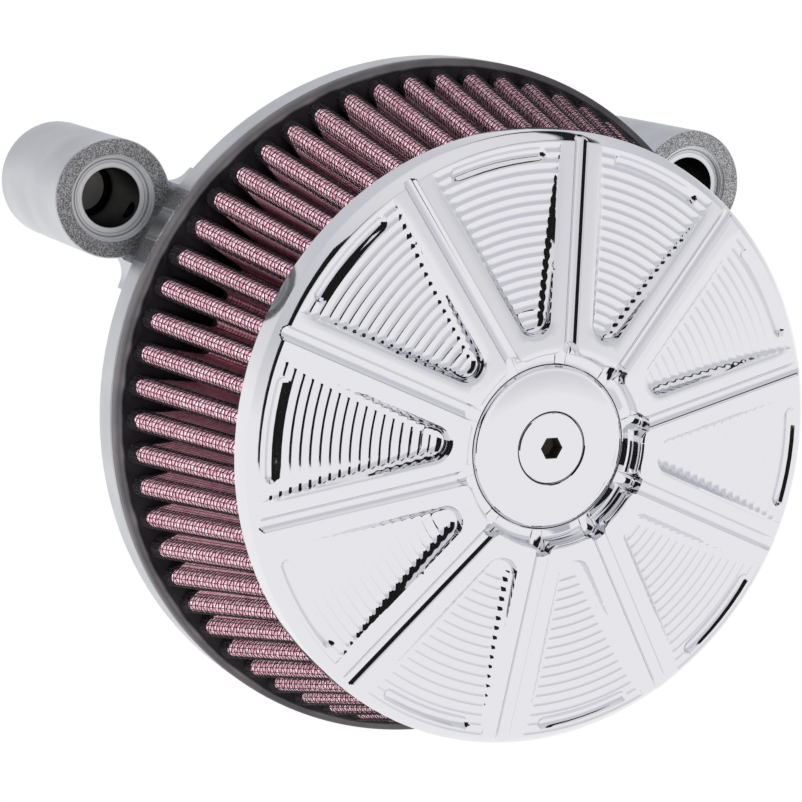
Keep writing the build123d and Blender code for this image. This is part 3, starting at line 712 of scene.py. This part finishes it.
def make_weave(reach, lift):
    """Plain-woven wire over each pleat's crest: one piece of wires across it, one of wires along it."""
    front_y, back_y = COTTON_LOW.y, COTTON_HIGH.y
    length_y = back_y - front_y
    across_count = int(length_y / WIRE_PITCH)
    along_count = 2 * int(reach / WIRE_PITCH) + 1
    lengths = (np.arange(along_count) - (along_count - 1) / 2) * WIRE_PITCH
    shares = (np.arange(across_count) + 0.5) / across_count
    grid = np.zeros((across_count, along_count, 2, 3))
    facing = np.zeros((across_count, along_count, 3))
    for i, share in enumerate(shares):
        crest = crest_radius(share)
        table = pleat_half(crest, 0.0, 15, 5, 4)
        for j, length in enumerate(lengths):
            over = WEAVE_RISE if (i + j) % 2 == 0 else -WEAVE_RISE
            for side, up in enumerate((lift + over, lift - over)):
                r, turn, normal = sheet_point(length, share, up, table)
                grid[i, j, side] = (r, turn, front_y + length_y * share)
            facing[i, j] = (normal[0], normal[1], turn)
    across_lines, along_lines, across_normals, along_normals = [], [], [], []
    for n in range(PLEATS):
        middle = 2 * pi * n / PLEATS
        spot = around(grid[..., 0], middle + grid[..., 1], grid[..., 2])
        angle = middle + facing[..., 2]
        radial = around(np.ones_like(angle), angle, np.zeros_like(angle))
        tangential = around(np.ones_like(angle), angle + pi / 2, np.zeros_like(angle))
        normal = radial * facing[..., 1:2] + tangential * facing[..., 0:1]
        across_lines.append(spot[:, :, 0])
        across_normals.append(normal)
        along_lines.append(spot[:, :, 1].transpose(1, 0, 2))
        along_normals.append(normal.transpose(1, 0, 2))
    pieces = []
    for name, lines, normals, radius in (("wires_across_pleats", across_lines, across_normals, ACROSS_WIRE_R),
                                         ("wires_along_pleats", along_lines, along_normals, ALONG_WIRE_R)):
        verts, faces = wire_tubes((np.concatenate(lines), np.concatenate(normals)), radius)
        pieces.append(add_object(name, verts, faces, 70))
    return pieces


def cotton_paint():
    """Red-oiled cotton: the net is painted on the flanks, the crests are painted pale pink as a painted
    highlight and the flanks darker red as painted shade, and the end set in the urethane is black.
    """
    paint = Paint("oiled_cotton", (0.55, 0.18, 0.22), 0.45)
    uv = paint.node("ShaderNodeUVMap")
    uv.uv_map = "sheet"
    split = paint.nodes.new("ShaderNodeSeparateXYZ")
    paint.link(uv.outputs["UV"], split.inputs[0])
    across = paint.math("MULTIPLY", split.outputs["X"], 100 / WIRE_PITCH)
    along = paint.math("MULTIPLY", split.outputs["Y"], 100 / WIRE_PITCH)
    lines = []
    for axis in (across, along):
        saw = paint.math("PINGPONG", axis, 0.5)
        lines.append(paint.math("LESS_THAN", saw, 0.13))
    wire = paint.math("MAXIMUM", *lines)
    flank = paint.math("GREATER_THAN", paint.math("ABSOLUTE", across), PAINTED_NET_FROM)
    wire = paint.math("MULTIPLY", wire, flank)
    tone = paint.noise(700, detail=3)
    # Painted highlight and shade: the cotton's red is painted pale pink at the crest and darker red further
    # down the flanks, standing in for light on the crest and shade beside it.
    crest = paint.ramp(tone, (0.3, (0.60, 0.24, 0.33)), (0.62, (0.92, 0.60, 0.68)))
    flank_painted_shade = paint.ramp(tone, (0.3, (0.36, 0.07, 0.12)), (0.62, (0.70, 0.30, 0.38)))
    gauze_painted_light = paint.mix(paint.rise(paint.math("ABSOLUTE", across), 3.5, 12.0), crest, flank_painted_shade)
    woven = paint.mix(wire, gauze_painted_light, (0.012, 0.011, 0.013))
    edge = paint.math("ADD", along, paint.math("MULTIPLY", paint.noise(160, detail=2), 2.4))
    dipped = paint.math("GREATER_THAN", edge, (COTTON_HIGH.y - COTTON_LOW.y - 3.4) / WIRE_PITCH + 1.2)
    paint.colour(paint.mix(dipped, woven, (0.012, 0.011, 0.013)))
    paint.shader.inputs["Specular IOR Level"].default_value = 0.3
    paint.bump(paint.noise(1500, detail=3), 0.08, 0.6)
    return paint.material


def wire_paint():
    """Black-coated wire."""
    paint = Paint("black_wire", (0.012, 0.012, 0.014), 0.3)
    paint.shader.inputs["Specular IOR Level"].default_value = 0.2
    grain = paint.noise(1200, detail=3)
    paint.colour(paint.ramp(grain, (0.4, (0.004, 0.003, 0.004)), (0.7, (0.018, 0.014, 0.018))))
    paint.bump(grain, 0.02, 0.4)
    return paint.material


def make_rear_seal():
    """The plate-end seal: a soft-edged flange, and the poured urethane that runs up between the pleats."""
    columns = PLEATS * 12
    angle = np.linspace(0, 2 * pi, columns, endpoint=False)
    wave = 0.5 + 0.5 * np.cos(angle * PLEATS)
    drift = np.sin(angle * 7 + 0.6) * 0.35 + np.sin(angle * 17 + 2.1) * 0.3 + np.sin(angle * 41) * 0.25
    out_r, in_r = REAR_HIGH.x, REAR_HIGH.x - 25.2
    seat_y, front_y = REAR_HIGH.y, REAR_HIGH.y - 3.3
    pour_y = REAR_LOW.y
    crest = CREST_BACK_R
    outline = [(in_r, seat_y), (out_r - 0.4, seat_y), (out_r, seat_y - 0.4), (out_r, front_y + 0.8)]
    outline += arc_points((out_r - 0.8, front_y + 0.8), 0.8, 0, -90, 6)[1:]
    rows = [around(np.full(columns, r), angle, np.full(columns, y)) for r, y in outline]
    for share, rise in ((0.25, 0.0), (0.5, 0.35), (0.8, 0.8), (1.0, 1.2)):
        r = out_r - 0.9 - share * (out_r - 0.9 - crest + 0.3) - (1 - wave) * share * 1.5 + drift * share * 0.3
        y = front_y - rise - (front_y - pour_y - 1.0) * share * 0.4
        y = y - (1 - wave) * rise * 0.3 - drift * rise * 0.3
        rows.append(around(r, angle, y))
    deep = pour_y - 0.6 - (1 - wave) * 0.9 - drift * 0.4
    rows.append(around(np.full(columns, crest - 5.0), angle, deep))
    rows.append(around(np.full(columns, crest - 12.0), angle, deep - 0.4))
    rows.append(around(np.full(columns, crest - 20.0), angle, deep + 0.2))
    rows.append(around(np.full(columns, in_r), angle, np.full(columns, pour_y)))
    points = np.concatenate(rows)
    return add_object("rear_end_seal_moulded", points, loop_faces(len(rows), columns), 50)


def make_front_seal():
    """The cover-end seal, soft at both edges."""
    out_r, in_r = FRONT_HIGH.x, FRONT_HIGH.x - 22.2
    face, back = FRONT_LOW.y, FRONT_HIGH.y
    outline = [(in_r, back), (in_r, face + 1.2)]
    outline += arc_points((in_r + 1.2, face + 1.2), 1.2, 180, 270, 5)[1:]
    outline += arc_points((out_r - 1.2, face + 1.2), 1.2, 270, 360, 5)
    outline += [(out_r, back)]
    return turned("front_end_seal_moulded", outline, 186)


# ---- stage -------------------------------------------------------------------------------
def stage_sheet(name, corners, glow):
    """A flat sheet of the studio that gives out an even light of its own."""
    mesh = bpy.data.meshes.new(name)
    mesh.from_pydata(corners, [], [(0, 1, 2, 3)])
    sheet = bpy.data.objects.new(name, mesh)
    bpy.context.scene.collection.objects.link(sheet)
    paint = Paint(name, (0.0, 0.0, 0.0), 1.0)
    paint.shader.inputs["Specular IOR Level"].default_value = 0.0
    paint.shader.inputs["Emission Color"].default_value = (1, 1, 1, 1)
    paint.shader.inputs["Emission Strength"].default_value = glow
    mesh.materials.append(paint.material)
    return sheet


def make_stage():
    """A white floor and horizon, soft lights, and the dark card that the chrome reflects as black lines."""
    floor_z = PLATE_LOW.z * MM - 0.10
    far = 40.0
    stage_sheet("studio_floor", [(-far, -far, floor_z), (far, -far, floor_z), (far, far, floor_z),
                                 (-far, far, floor_z)], 1.0)
    towards = Vector((cos(CARD_ANGLE), sin(CARD_ANGLE), 0))
    along = Vector((-towards.y, towards.x, 0)) * CARD_HALF
    foot = towards * CARD_AWAY + Vector((0, 0, floor_z))
    head = foot + Vector((0, 0, CARD_TOP - floor_z))
    card = stage_sheet("dark_card", [foot - along, foot + along, head + along, head - along], 0.012)
    card.visible_camera = False
    card.visible_diffuse = False
    card.visible_shadow = False

    world = bpy.data.worlds.new("studio")
    bpy.context.scene.world = world
    world.use_nodes = True
    light = Graph(world.node_tree)
    x, y, z = light.axes("Generated")
    slit = light.math("MULTIPLY", light.rise(z, 0.77, 0.79), light.rise(z, 0.88, 0.86))
    slit = light.math("MULTIPLY", slit, light.rise(x, 0.08, 0.16))
    sky = light.ramp(z, (0.0, (0.98, 0.98, 0.98)), (0.12, (0.86, 0.86, 0.87)), (0.4, (0.66, 0.67, 0.70)),
                     (0.7, (0.72, 0.73, 0.76)), (1.0, (0.9, 0.9, 0.9)))
    light.link(light.mix(slit, sky, (0.015, 0.015, 0.018)), light.nodes["Background"].inputs["Color"])

    for name, place, size, power in (("key_light", (-1.3, -0.5, 0.2), 0.7, 22),
                                     ("fill_light", (1.3, -0.7, 0.8), 0.8, 2),
                                     ("back_light", (0.2, 1.4, 1.0), 0.8, 3)):
        light = bpy.data.lights.new(name, "AREA")
        light.shape = "DISK"
        light.size = size
        light.energy = power
        lamp = bpy.data.objects.new(name, light)
        lamp.location = place
        lamp.visible_glossy = False
        lamp.rotation_euler = (Vector((0, -0.05, 0)) - Vector(place)).to_track_quat("-Z", "Y").to_euler()
        bpy.context.scene.collection.objects.link(lamp)


def make_camera():
    """The product view: from the left and a little above, with a long lens."""
    data = bpy.data.cameras.new("camera")
    data.lens = 129.1
    data.sensor_width = 36.0
    camera = bpy.data.objects.new("camera", data)
    right = Vector((0.9073, -0.4195, 0.0303))
    up = Vector((0.0504, 0.1799, 0.9824))
    back = right.cross(up).normalized()
    turn = Matrix((right, up, back)).transposed().to_4x4()
    camera.matrix_world = Matrix.Translation((-0.3496, -0.7565, 0.1498)) @ turn
    bpy.context.scene.collection.objects.link(camera)
    bpy.context.scene.camera = camera


# ---- put it together ---------------------------------------------------------------------
def dress(node, material):
    """Gives a CAD node its finish."""
    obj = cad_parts[node]
    obj.data.materials.clear()
    obj.data.materials.append(material)


def stand_in(obj, body, slot, material, *nodes):
    """A detailed piece that rides on a body and stands for CAD nodes."""
    obj.data.materials.append(material)
    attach(obj, body)
    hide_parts(*nodes)


make_stage()
make_camera()

chrome = chrome_paint("chromed_cover")
urethane = urethane_paint()
black_wire = wire_paint()
cotton = cotton_paint()
steel = machined_paint("zinc_steel", (0.62, 0.63, 0.64), 0.3)

stand_in(make_cover(), "cover", "chromed_cover", chrome, "cover")
stand_in(make_disc(), "cover", "chromed_cover", chrome, "cover_hub_disc")
stand_in(pleated_sheet("cotton_pleats", 0.35, 0.9), "element", "oiled_cotton", cotton, "cotton_media")
for wires in make_weave(WEAVE_REACH, 0.1):
    stand_in(wires, "element", "wire_mesh", black_wire, "outer_wire_mesh")
stand_in(make_rear_seal(), "element", "seal_urethane", urethane, "rear_end_seal")
stand_in(make_front_seal(), "element", "seal_urethane", urethane, "front_end_seal")

dress("backing_plate", cast_aluminium_paint())
dress("cover_screw", screw_paint())
dress("cover_bracket", machined_paint("bracket_metal", (0.55, 0.56, 0.57), 0.4))
dress("bracket_screws", steel)
dress("bracket_lock_washers", steel)
dress("threaded_insert", machined_paint("insert_steel", (0.45, 0.44, 0.42), 0.35))
dress("inner_wire_mesh", black_wire)
rubber = rubber_paint("seal_rubber", (0.018, 0.018, 0.019), 0.55)
for ring_node in ("throttle_body_o_ring", "breather_o_ring_left", "breather_o_ring_right",
                  "cover_screw_o_ring"):
    dress(ring_node, rubber)

bpy.context.scene.view_settings.view_transform = "Standard"
